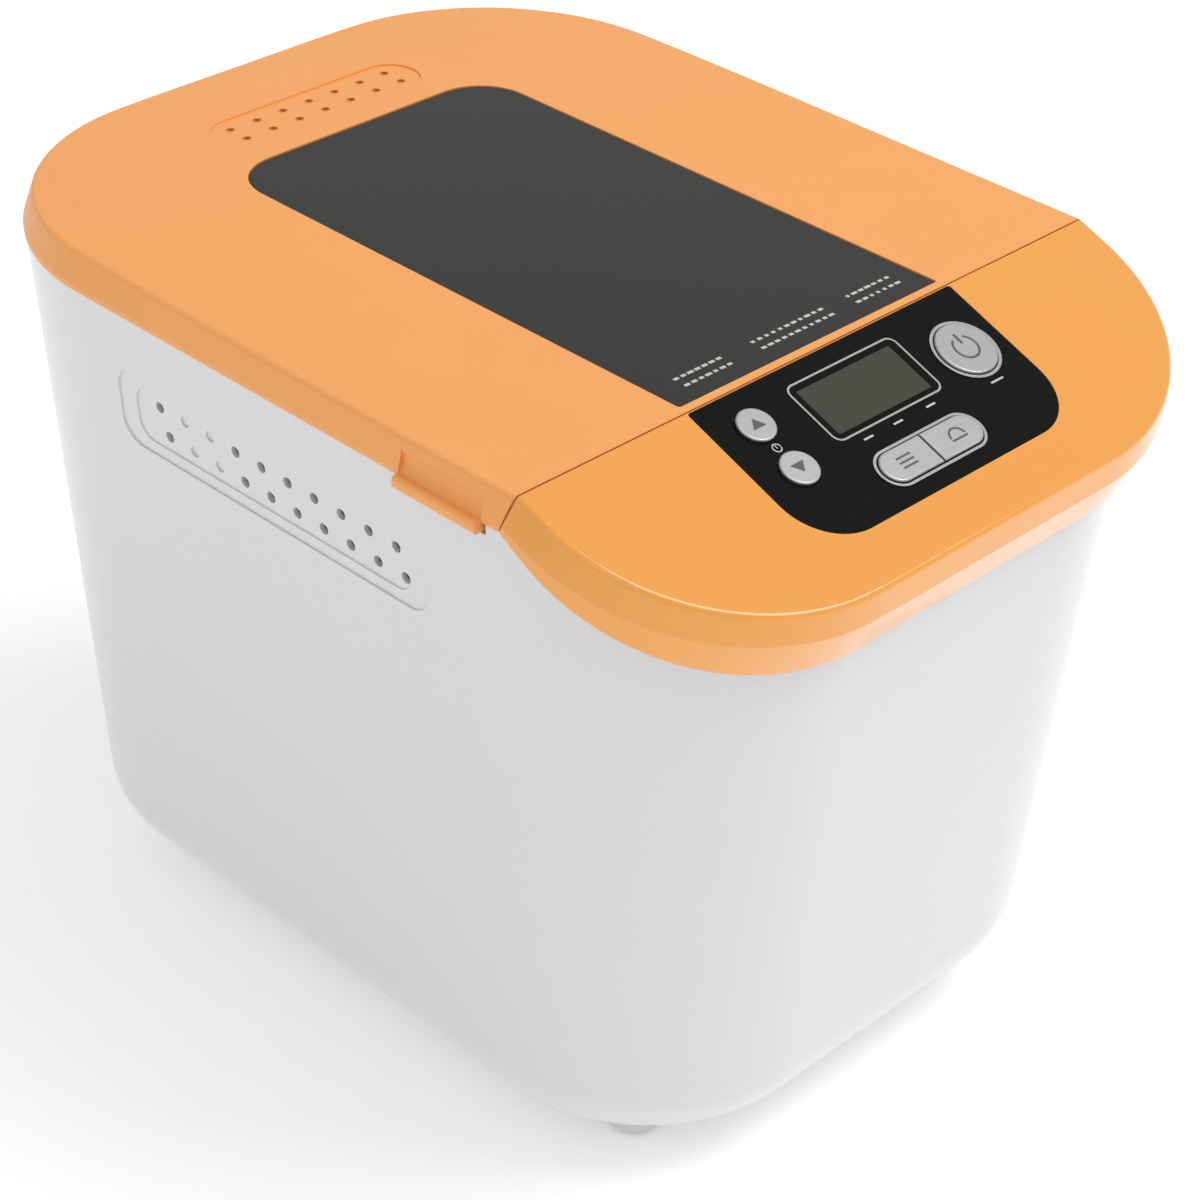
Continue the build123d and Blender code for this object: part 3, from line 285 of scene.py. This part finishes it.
# ---- Mesh helpers -------------------------------------------------------------------
def keep(mesh, name, matrix, material, body):
    """Stores a mesh as a finished piece, with its place in its vertices."""
    mesh.transform(matrix)
    mesh.name = name
    piece = bpy.data.objects.new(name, mesh)
    bpy.context.scene.collection.objects.link(piece)
    if material is not None:
        mesh.materials.clear()
        mesh.materials.append(material)
    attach(piece, body)


def plate(outlines, thickness):
    """A mesh of flat outlines, each with the given thickness."""
    mesh = bpy.data.meshes.new("plate")
    work = bmesh.new()
    for outline in outlines:
        low = [work.verts.new((x, y, 0.0)) for x, y in outline]
        high = [work.verts.new((x, y, thickness)) for x, y in outline]
        work.faces.new(high)
        work.faces.new(low[::-1])
        for index in range(len(low)):
            after = (index + 1) % len(low)
            work.faces.new((low[index], low[after], high[after], high[index]))
    bmesh.ops.recalc_face_normals(work, faces=work.faces)
    work.to_mesh(mesh)
    work.free()
    return mesh


def bar(x, y, width, height):
    w, h = width / 2, height / 2
    return [(x - w, y - h), (x + w, y - h), (x + w, y + h), (x - w, y + h)]


def arrow(x, y, size, way):
    """A triangle that points up the slope where way is 1, and down it where way is -1."""
    foot, tip = y - way * size * 0.6, y + way * size * 0.8
    return [(x - size, foot), (x + size, foot), (x, tip)][::way]


def arc_band(x, y, radius, width, start, stop, steps=24):
    angles = [math.radians(start + (stop - start) * step / steps) for step in range(steps + 1)]
    outer = [(x + radius * math.cos(a), y + radius * math.sin(a)) for a in angles]
    inner = [(x + (radius - width) * math.cos(a), y + (radius - width) * math.sin(a)) for a in angles]
    return outer + inner[::-1]


# ---- Geometry Nodes helpers ---------------------------------------------------------
def geometry_tree(name, inputs):
    tree = bpy.data.node_groups.new(name, "GeometryNodeTree")
    for label, kind, default in inputs:
        socket = tree.interface.new_socket(name=label, in_out="INPUT", socket_type=kind)
        if default is not None:
            socket.default_value = default
    tree.interface.new_socket(name="Geometry", in_out="OUTPUT", socket_type="NodeSocketGeometry")
    return tree, tree.nodes.new("NodeGroupInput"), tree.nodes.new("NodeGroupOutput")


def end_tree(tree, given, result, geometry):
    """Realize Instances and Set Material, as every tree here ends."""
    real = tree.nodes.new("GeometryNodeRealizeInstances")
    dress = tree.nodes.new("GeometryNodeSetMaterial")
    tree.links.new(geometry, real.inputs["Geometry"])
    tree.links.new(real.outputs["Geometry"], dress.inputs["Geometry"])
    tree.links.new(given.outputs["Material"], dress.inputs["Material"])
    tree.links.new(dress.outputs["Geometry"], result.inputs["Geometry"])


def run_tree(tree, values):
    """Evaluates a tree on an empty mesh and returns the result as a plain mesh."""
    carrier = bpy.data.objects.new("carrier", bpy.data.meshes.new("carrier"))
    bpy.context.scene.collection.objects.link(carrier)
    modifier = carrier.modifiers.new("Nodes", "NODES")
    modifier.node_group = tree
    for item in tree.interface.items_tree:
        if item.item_type == "SOCKET" and item.in_out == "INPUT" and item.name in values:
            modifier[item.identifier] = values[item.name]
    bpy.context.view_layer.update()
    evaluated = carrier.evaluated_get(bpy.context.evaluated_depsgraph_get())
    mesh = bpy.data.meshes.new_from_object(evaluated)
    bpy.data.objects.remove(carrier)
    return mesh


def grid_points(tree, given):
    """Points of a grid with named columns, rows and pitches."""
    grid = tree.nodes.new("GeometryNodeMeshGrid")
    for label, along, count in (("Size X", "Pitch X", "Columns"), ("Size Y", "Pitch Y", "Rows")):
        gaps = math_node(tree, "SUBTRACT", given.outputs[count], 1.0)
        size = math_node(tree, "MULTIPLY", gaps, given.outputs[along])
        tree.links.new(size, grid.inputs[label])
    tree.links.new(given.outputs["Columns"], grid.inputs["Vertices X"])
    tree.links.new(given.outputs["Rows"], grid.inputs["Vertices Y"])
    return grid.outputs["Mesh"]


GRID_INPUTS = [
    ("Columns", "NodeSocketInt", 10),
    ("Rows", "NodeSocketInt", 2),
    ("Pitch X", "NodeSocketFloat", 10 * MM),
    ("Pitch Y", "NodeSocketFloat", 9 * MM),
]


def rim_tree():
    """Thin raised rims round a grid of vent holes."""
    inputs = GRID_INPUTS + [
        ("Hole Radius", "NodeSocketFloat", 1.4 * MM),
        ("Bead Radius", "NodeSocketFloat", 0.2 * MM),
        ("Material", "NodeSocketMaterial", None),
    ]
    tree, given, result = geometry_tree("Vent rims", inputs)
    circle = tree.nodes.new("GeometryNodeCurvePrimitiveCircle")
    circle.inputs["Resolution"].default_value = 24
    tree.links.new(given.outputs["Hole Radius"], circle.inputs["Radius"])
    bead = tree.nodes.new("GeometryNodeCurvePrimitiveCircle")
    bead.inputs["Resolution"].default_value = 6
    tree.links.new(given.outputs["Bead Radius"], bead.inputs["Radius"])
    solid = tree.nodes.new("GeometryNodeCurveToMesh")
    tree.links.new(circle.outputs["Curve"], solid.inputs["Curve"])
    tree.links.new(bead.outputs["Curve"], solid.inputs["Profile Curve"])
    place = tree.nodes.new("GeometryNodeInstanceOnPoints")
    tree.links.new(grid_points(tree, given), place.inputs["Points"])
    tree.links.new(solid.outputs["Mesh"], place.inputs["Instance"])
    end_tree(tree, given, result, place.outputs["Instances"])
    return tree


def dash_tree():
    """Rows of short printed dashes whose lengths vary with a fixed seed."""
    inputs = GRID_INPUTS + [
        ("Dash Length", "NodeSocketFloat", 3 * MM),
        ("Dash Height", "NodeSocketFloat", 0.8 * MM),
        ("Thickness", "NodeSocketFloat", 0.05 * MM),
        ("Seed", "NodeSocketInt", 3),
        ("Material", "NodeSocketMaterial", None),
    ]
    tree, given, result = geometry_tree("Printed dashes", inputs)
    size = tree.nodes.new("ShaderNodeCombineXYZ")
    for label, axis in (("Dash Length", "X"), ("Dash Height", "Y"), ("Thickness", "Z")):
        tree.links.new(given.outputs[label], size.inputs[axis])
    block = tree.nodes.new("GeometryNodeMeshCube")
    tree.links.new(size.outputs[0], block.inputs["Size"])
    vary = tree.nodes.new("FunctionNodeRandomValue")
    vary.data_type = "FLOAT_VECTOR"
    vary.inputs[0].default_value = (0.45, 1.0, 1.0)
    vary.inputs[1].default_value = (1.0, 1.0, 1.0)
    tree.links.new(given.outputs["Seed"], vary.inputs["Seed"])
    place = tree.nodes.new("GeometryNodeInstanceOnPoints")
    tree.links.new(grid_points(tree, given), place.inputs["Points"])
    tree.links.new(block.outputs["Mesh"], place.inputs["Instance"])
    tree.links.new(vary.outputs[0], place.inputs["Scale"])
    end_tree(tree, given, result, place.outputs["Instances"])
    return tree


# ---- Settings -----------------------------------------------------------------------
def colour_property(label, text, default):
    return bpy.props.FloatVectorProperty(
        name=label, description=text, subtype="COLOR", size=3, min=0.0, max=1.0, default=default
    )


def length_property(label, text, default):
    return bpy.props.FloatProperty(name=label, description=text, default=default, unit="LENGTH", precision=5)


class CasingSettings(bpy.types.PropertyGroup):
    shell: colour_property("Body", "Colour of the white body", (0.705, 0.705, 0.715))
    lid: colour_property("Lid", "Colour of the satin lid", (0.93, 0.385, 0.10))
    cover: colour_property("Cover", "Colour of the glossy control cover", (0.88, 0.35, 0.04))
    deck: colour_property("Deck", "Colour of the deck under the lid", (0.16, 0.16, 0.165))


class MarkSettings(bpy.types.PropertyGroup):
    ink: colour_property("Ink", "Colour of the marks on the window and the panel", (0.55, 0.56, 0.52))
    key_ink: colour_property("Key Ink", "Colour of the signs on the keys", (0.09, 0.09, 0.09))
    thickness: length_property("Thickness", "Height of printed marks", 0.05 * MM)
    key_rise: length_property("Key Rise", "Height of a key's face above the slope", 1.1 * MM)
    rim: length_property("Rim", "Radius of the bead round a vent hole", 0.22 * MM)


class StudioSettings(bpy.types.PropertyGroup):
    lens: bpy.props.FloatProperty(name="Lens", description="Focal length in millimetres", default=95.2)
    sky: bpy.props.FloatProperty(name="Sky", description="Strength of the soft surround", default=0.67)
    key: bpy.props.FloatProperty(name="Key", description="Power of the main light in watts", default=20.0)
    fill: bpy.props.FloatProperty(name="Fill", description="Power of the fill light in watts", default=1.0)
    glow: bpy.props.FloatProperty(name="Glow", description="Light the white floor gives out", default=0.22)


def settings(name):
    return getattr(bpy.context.scene, "bread_machine_" + name)


# ---- Operators: finishes ------------------------------------------------------------
class OBJECT_OT_surface_groups(bpy.types.Operator):
    """Build the shader groups that the finishes share"""
    bl_idname = "object.bread_surface_groups"
    bl_label = "Surface Groups"

    def execute(self, context):
        moulded_group()
        brushed_group()
        speckle_group()
        return {"FINISHED"}


class OBJECT_OT_casing(bpy.types.Operator):
    """Finish the body, the feet, the lid and the hinge"""
    bl_idname = "object.bread_casing"
    bl_label = "Casing"

    def execute(self, context):
        casing = settings("casing")
        white = moulded("White shell", casing.shell, 0.30, spread=0.04, bump=0.04, drift=0.985,
                        coat_weight=0.35)
        paint_all(["housing_shell", "feet", "hinge_brackets"], white)
        paint("lid_cover", moulded("Satin orange", casing.lid, 0.42, scale=3200.0, bump=0.22, drift=0.96))
        gloss = moulded("Gloss orange", casing.cover, 0.20, bump=0.03, drift=0.96, coat_weight=0.7)
        paint("control_cover", gloss)
        paint_all(["top_deck", "lid_inner_frame"], moulded("Deck grey", casing.deck, 0.5, bump=0.4))
        paint("foot_pads", moulded("Foot rubber", (0.025, 0.025, 0.025), 0.75, bump=0.5))
        paint("lid_seal", moulded("Silicone", (0.42, 0.38, 0.34), 0.6, bump=0.2))
        paint("cord_gland", moulded("Gland black", (0.02, 0.02, 0.02), 0.5, bump=0.4))
        return {"FINISHED"}


class OBJECT_OT_windows(bpy.types.Operator):
    """Finish the tinted lid window, the inner glass and the display lens"""
    bl_idname = "object.bread_windows"
    bl_label = "Windows"

    def execute(self, context):
        smoked = clear("Smoked window", (0.026, 0.026, 0.023), 0.24, 0.95, specular_ior_level=0.18)
        paint("lid_window", smoked)
        paint("lid_inner_glass", clear("Oven glass", (0.30, 0.34, 0.32), 0.05, 0.35, coat_weight=0.6))
        lens = moulded("Display lens", (0.048, 0.051, 0.034), 0.24, bump=0.04, specular_ior_level=0.3)
        paint("display_lens", lens)
        return {"FINISHED"}


class OBJECT_OT_controls(bpy.types.Operator):
    """Finish the panel, its keys, its trim and the electronics under it"""
    bl_idname = "object.bread_controls"
    bl_label = "Controls"

    def execute(self, context):
        keys = ["start_button", "up_button", "down_button", "menu_button", "crust_button"]
        panel = moulded("Panel black", (0.007, 0.008, 0.007), 0.22, bump=0.02, specular_ior_level=0.05)
        paint("control_panel", panel)
        paint_all(keys, brushed("Key silver", (0.50, 0.50, 0.49), 0.36, scale=1500.0, drift=0.75))
        paint("panel_trim", brushed("Trim silver", (0.66, 0.66, 0.64), 0.2))
        paint("display_module", moulded("Module black", (0.03, 0.03, 0.03), 0.5))
        boards = moulded("Circuit board", (0.02, 0.13, 0.05), 0.4, scale=900.0, drift=0.6)
        paint_all(["control_board", "power_board"], boards)
        parts = moulded("Component black", (0.02, 0.02, 0.022), 0.45, bump=0.3)
        paint_all(["button_switches", "board_parts"], parts)
        return {"FINISHED"}


class OBJECT_OT_oven(bpy.types.Operator):
    """Finish the chamber, the heater, the pan and the paddle"""
    bl_idname = "object.bread_oven"
    bl_label = "Oven"

    def execute(self, context):
        sheet = brushed("Sheet steel", (0.58, 0.58, 0.59), 0.34)
        paint_all(["chamber", "lid_liner", "heater_clips", "temperature_sensor"], sheet)
        turned = brushed("Turned steel", (0.62, 0.62, 0.62), 0.25, scale=1600.0)
        paint_all(["drive_shaft", "pan_shaft"], turned)
        oxide = moulded("Heater oxide", (0.05, 0.045, 0.04), 0.55, bump=0.5, metallic=0.7)
        paint("heating_element", oxide)
        paint("heater_bushings", moulded("Ceramic", (0.72, 0.68, 0.58), 0.7, bump=0.5))
        coating = speckled("Pan coating", (0.035, 0.035, 0.038), (0.2, 0.2, 0.21), 0.36)
        paint_all(["pan_body", "kneading_paddle"], coating)
        paint("bail_handle", brushed("Bail wire", (0.60, 0.60, 0.60), 0.3))
        return {"FINISHED"}


class OBJECT_OT_drive(bpy.types.Operator):
    """Finish the chassis, the motor, the belt drive and the fasteners"""
    bl_idname = "object.bread_drive"
    bl_label = "Drive"

    def execute(self, context):
        zinc = brushed("Zinc plate", (0.56, 0.57, 0.55), 0.42, scale=500.0)
        nodes = ["chassis", "base_plate", "chamber_supports", "board_bracket", "hinge_pins", "hinge_screws"]
        paint_all(nodes, zinc)
        paint_all(["base_screws", "chassis_screws", "motor_screws", "board_screws", "lid_screws"], zinc)
        cast = moulded("Cast alloy", (0.48, 0.48, 0.49), 0.45, scale=900.0, bump=0.6, metallic=1.0)
        paint_all(["pan_mount", "bearing_housing", "drive_coupling", "motor_bells", "motor_pulley"], cast)
        bronze = moulded("Sintered bronze", (0.45, 0.28, 0.11), 0.45, scale=2000.0, bump=0.5, metallic=1.0)
        paint_all(["drive_bush", "pan_bush"], bronze)
        paint("drive_pulley", moulded("Pulley nylon", (0.03, 0.03, 0.03), 0.5, bump=0.3))
        paint_all(["drive_belt", "motor_grommets"], moulded("Belt rubber", (0.02, 0.02, 0.02), 0.7, bump=0.5))
        paint_all(["motor_stack", "motor_rotor"], brushed("Core iron", (0.22, 0.22, 0.23), 0.5))
        copper = moulded("Copper", (0.50, 0.17, 0.07), 0.35, scale=700.0, bump=0.8, metallic=0.9)
        paint("motor_windings", copper)
        return {"FINISHED"}


# ---- Operators: printed and moulded detail ------------------------------------------
def ink(name="Printed ink", colour="ink"):
    material = bpy.data.materials.get(name)
    return material or moulded(name, getattr(settings("marks"), colour), 0.5, bump=0.05)


def print_on_key(name, key, outlines, body):
    """Print a sign in the middle of a key's face."""
    mesh = plate(outlines, settings("marks").thickness)
    mesh.transform(Matrix.Diagonal((SIGN_SCALE, SIGN_SCALE, 1, 1)))
    place = on_slope(centre_of(key), settings("marks").key_rise)
    keep(mesh, name, place, ink("Key ink", "key_ink"), body)


class OBJECT_OT_key_signs(bpy.types.Operator):
    """Print a generic sign on each key"""
    bl_idname = "object.bread_key_signs"
    bl_label = "Key Signs"

    def execute(self, context):
        size = 1.9 * MM
        print_on_key("sign_up", "up_button", [arrow(0, 0, size, 1)], "up_key")
        print_on_key("sign_down", "down_button", [arrow(0, 0, size, -1)], "down_key")
        start = [arc_band(0, 0, 3.4 * MM, 0.55 * MM, 120, 420), bar(0, 2.6 * MM, 0.7 * MM, 3.0 * MM)]
        print_on_key("sign_start", "start_button", start, "start_key")
        lines = [bar(0, step * 1.3 * MM, 4.4 * MM, 0.5 * MM) for step in (-1, 0, 1)]
        print_on_key("sign_menu", "menu_button", lines, "menu_key")
        loaf = [arc_band(0, -0.6 * MM, 2.4 * MM, 0.5 * MM, 0, 180), bar(0, -1.2 * MM, 4.8 * MM, 0.5 * MM)]
        print_on_key("sign_crust", "crust_button", loaf, "crust_key")
        return {"FINISHED"}


class OBJECT_OT_panel_labels(bpy.types.Operator):
    """Print small generic labels on the black panel, beside the keys and the display"""
    bl_idname = "object.bread_panel_labels"
    bl_label = "Panel Labels"

    def execute(self, context):
        display = SLOPE.inverted() @ centre_of("display_lens")
        below = display.y - 13.2 * MM
        outlines = [bar(display.x + x * MM, below, 3.6 * MM, 0.6 * MM) for x in (-12.2, -0.4, 12.8)]
        keys = [SLOPE.inverted() @ centre_of(name) for name in ("up_button", "down_button")]
        middle = (keys[0] + keys[1]) / 2
        outlines.append(arc_band(middle.x, middle.y, 1.5 * MM, 0.35 * MM, 0, 350))
        outlines.append(bar(middle.x, middle.y + 0.4 * MM, 0.3 * MM, 1.2 * MM))
        start = SLOPE.inverted() @ centre_of("start_button")
        outlines.append(bar(start.x, start.y - 12.6 * MM, 5.0 * MM, 0.6 * MM))
        mesh = plate(outlines, settings("marks").thickness)
        keep(mesh, "panel_labels", SLOPE, ink(), "housing")
        return {"FINISHED"}


class OBJECT_OT_window_print(bpy.types.Operator):
    """Print three blocks of short dashes along the window's front edge"""
    bl_idname = "object.bread_window_print"
    bl_label = "Window Print"

    def execute(self, context):
        tree = dash_tree()
        low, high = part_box("lid_window")
        front = low[1] + 9.0 * MM
        width = high[0] - low[0]
        for index, (share, columns) in enumerate(((-0.32, 7), (0.02, 11), (0.34, 7))):
            values = {"Columns": columns, "Rows": 2, "Pitch X": 2.7 * MM, "Pitch Y": 4.0 * MM,
                      "Dash Length": 2.3 * MM, "Dash Height": 1.1 * MM,
                      "Thickness": settings("marks").thickness, "Seed": index + 2, "Material": ink()}
            place = Matrix.Translation((share * width, front, high[2]))
            keep(run_tree(tree, values), "window_print_%d" % (index + 1), place, None, "lid")
        return {"FINISHED"}


class OBJECT_OT_vent_rims(bpy.types.Operator):
    """Add the fine raised rims round the lid vent holes"""
    bl_idname = "object.bread_vent_rims"
    bl_label = "Vent Rims"

    def execute(self, context):
        tree = rim_tree()
        bead = settings("marks").rim
        lid_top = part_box("lid_cover")[1][2]
        values = {"Columns": 7, "Rows": 2, "Pitch X": 10.2 * MM, "Pitch Y": 7.6 * MM, "Hole Radius": 1.4 * MM,
                  "Bead Radius": bead, "Material": bpy.data.materials["Satin orange"]}
        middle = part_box("lid_window")[1][1] + VENT_SET_BACK
        place = Matrix.Translation((0, middle, lid_top - 0.5 * MM))
        keep(run_tree(tree, values), "lid_vent_rims", place, None, "lid")
        return {"FINISHED"}


# ---- Operator: stage ----------------------------------------------------------------
def aim(light, place, target):
    light.location = place
    light.rotation_euler = (Vector(target) - Vector(place)).to_track_quat("-Z", "Y").to_euler()


def area_light(name, place, power, width):
    data = bpy.data.lights.new(name, "AREA")
    data.energy = power
    data.shape = "SQUARE"
    data.size = width
    lamp = bpy.data.objects.new(name, data)
    bpy.context.scene.collection.objects.link(lamp)
    aim(lamp, place, (0, 0, 0.12))


def add_camera(lens):
    """A long lens from above the left front corner."""
    azimuth, elevation, roll = math.radians(-46.47), math.radians(33.48), math.radians(-2.13)
    back = Vector((math.sin(azimuth) * math.cos(elevation), -math.cos(azimuth) * math.cos(elevation),
                   math.sin(elevation)))
    right = Vector((0, 0, 1)).cross(back).normalized()
    up = back.cross(right)
    turn = Matrix((right, up, back)).transposed() @ Matrix.Rotation(-roll, 3, "Z")
    data = bpy.data.cameras.new("Camera")
    data.lens = lens
    data.sensor_width = 36.0
    data.clip_start = 0.05
    camera = bpy.data.objects.new("Camera", data)
    camera.matrix_world = Matrix.Translation((-0.5733, -0.56054, 0.63481)) @ turn.to_4x4()
    bpy.context.scene.collection.objects.link(camera)
    bpy.context.scene.camera = camera


class OBJECT_OT_stage(bpy.types.Operator):
    """Add the pale floor, the soft lights, the surround and the camera"""
    bl_idname = "object.bread_stage"
    bl_label = "Stage"

    def execute(self, context):
        studio = settings("studio")
        mesh = plate([bar(0, 0, 40.0, 40.0)], 0.01)
        mesh.transform(Matrix.Translation((0, 0, -0.01)))
        floor = bpy.data.objects.new("floor", mesh)
        paper = moulded("Floor paper", (0.97, 0.97, 0.97), 0.9, bump=0.0, scale=300.0, drift=0.995,
                        emission_color=(1, 1, 1, 1), emission_strength=studio.glow)
        mesh.materials.append(paper)
        context.scene.collection.objects.link(floor)
        world = bpy.data.worlds.new("Studio")
        world.use_nodes = True
        world.node_tree.nodes["Background"].inputs["Color"].default_value = (1, 1, 1, 1)
        world.node_tree.nodes["Background"].inputs["Strength"].default_value = studio.sky
        context.scene.world = world
        area_light("Key light", (0.8, -0.8, 2.0), studio.key, 1.2)
        area_light("Fill light", (-1.4, -0.3, 1.0), studio.fill, 1.4)
        add_camera(studio.lens)
        context.scene.view_settings.view_transform = "Standard"
        return {"FINISHED"}


OPERATORS = [
    OBJECT_OT_surface_groups,
    OBJECT_OT_casing,
    OBJECT_OT_windows,
    OBJECT_OT_controls,
    OBJECT_OT_oven,
    OBJECT_OT_drive,
    OBJECT_OT_key_signs,
    OBJECT_OT_panel_labels,
    OBJECT_OT_window_print,
    OBJECT_OT_vent_rims,
    OBJECT_OT_stage,
]


class VIEW3D_PT_bread_machine(bpy.types.Panel):
    """Lists the settings and the steps"""
    bl_label = "Bread Machine"
    bl_space_type = "VIEW_3D"
    bl_region_type = "UI"
    bl_category = "Bread Machine"

    def draw(self, context):
        for name in ("casing", "marks", "studio"):
            group = settings(name)
            box = self.layout.box()
            for label in group.bl_rna.properties.keys():
                if label not in ("rna_type", "name"):
                    box.prop(group, label)
        for operator in OPERATORS:
            self.layout.operator(operator.bl_idname)


GROUPS = {"casing": CasingSettings, "marks": MarkSettings, "studio": StudioSettings}


def register():
    for kind in [*GROUPS.values(), *OPERATORS, VIEW3D_PT_bread_machine]:
        bpy.utils.register_class(kind)
    for name, kind in GROUPS.items():
        setattr(bpy.types.Scene, "bread_machine_" + name, bpy.props.PointerProperty(type=kind))


def unregister():
    for name in GROUPS:
        delattr(bpy.types.Scene, "bread_machine_" + name)
    for kind in [VIEW3D_PT_bread_machine, *OPERATORS, *GROUPS.values()]:
        bpy.utils.unregister_class(kind)


def main():
    register()
    for operator in OPERATORS:
        area, step = operator.bl_idname.split(".")
        getattr(getattr(bpy.ops, area), step)()


if __name__ == "__main__":
    main()
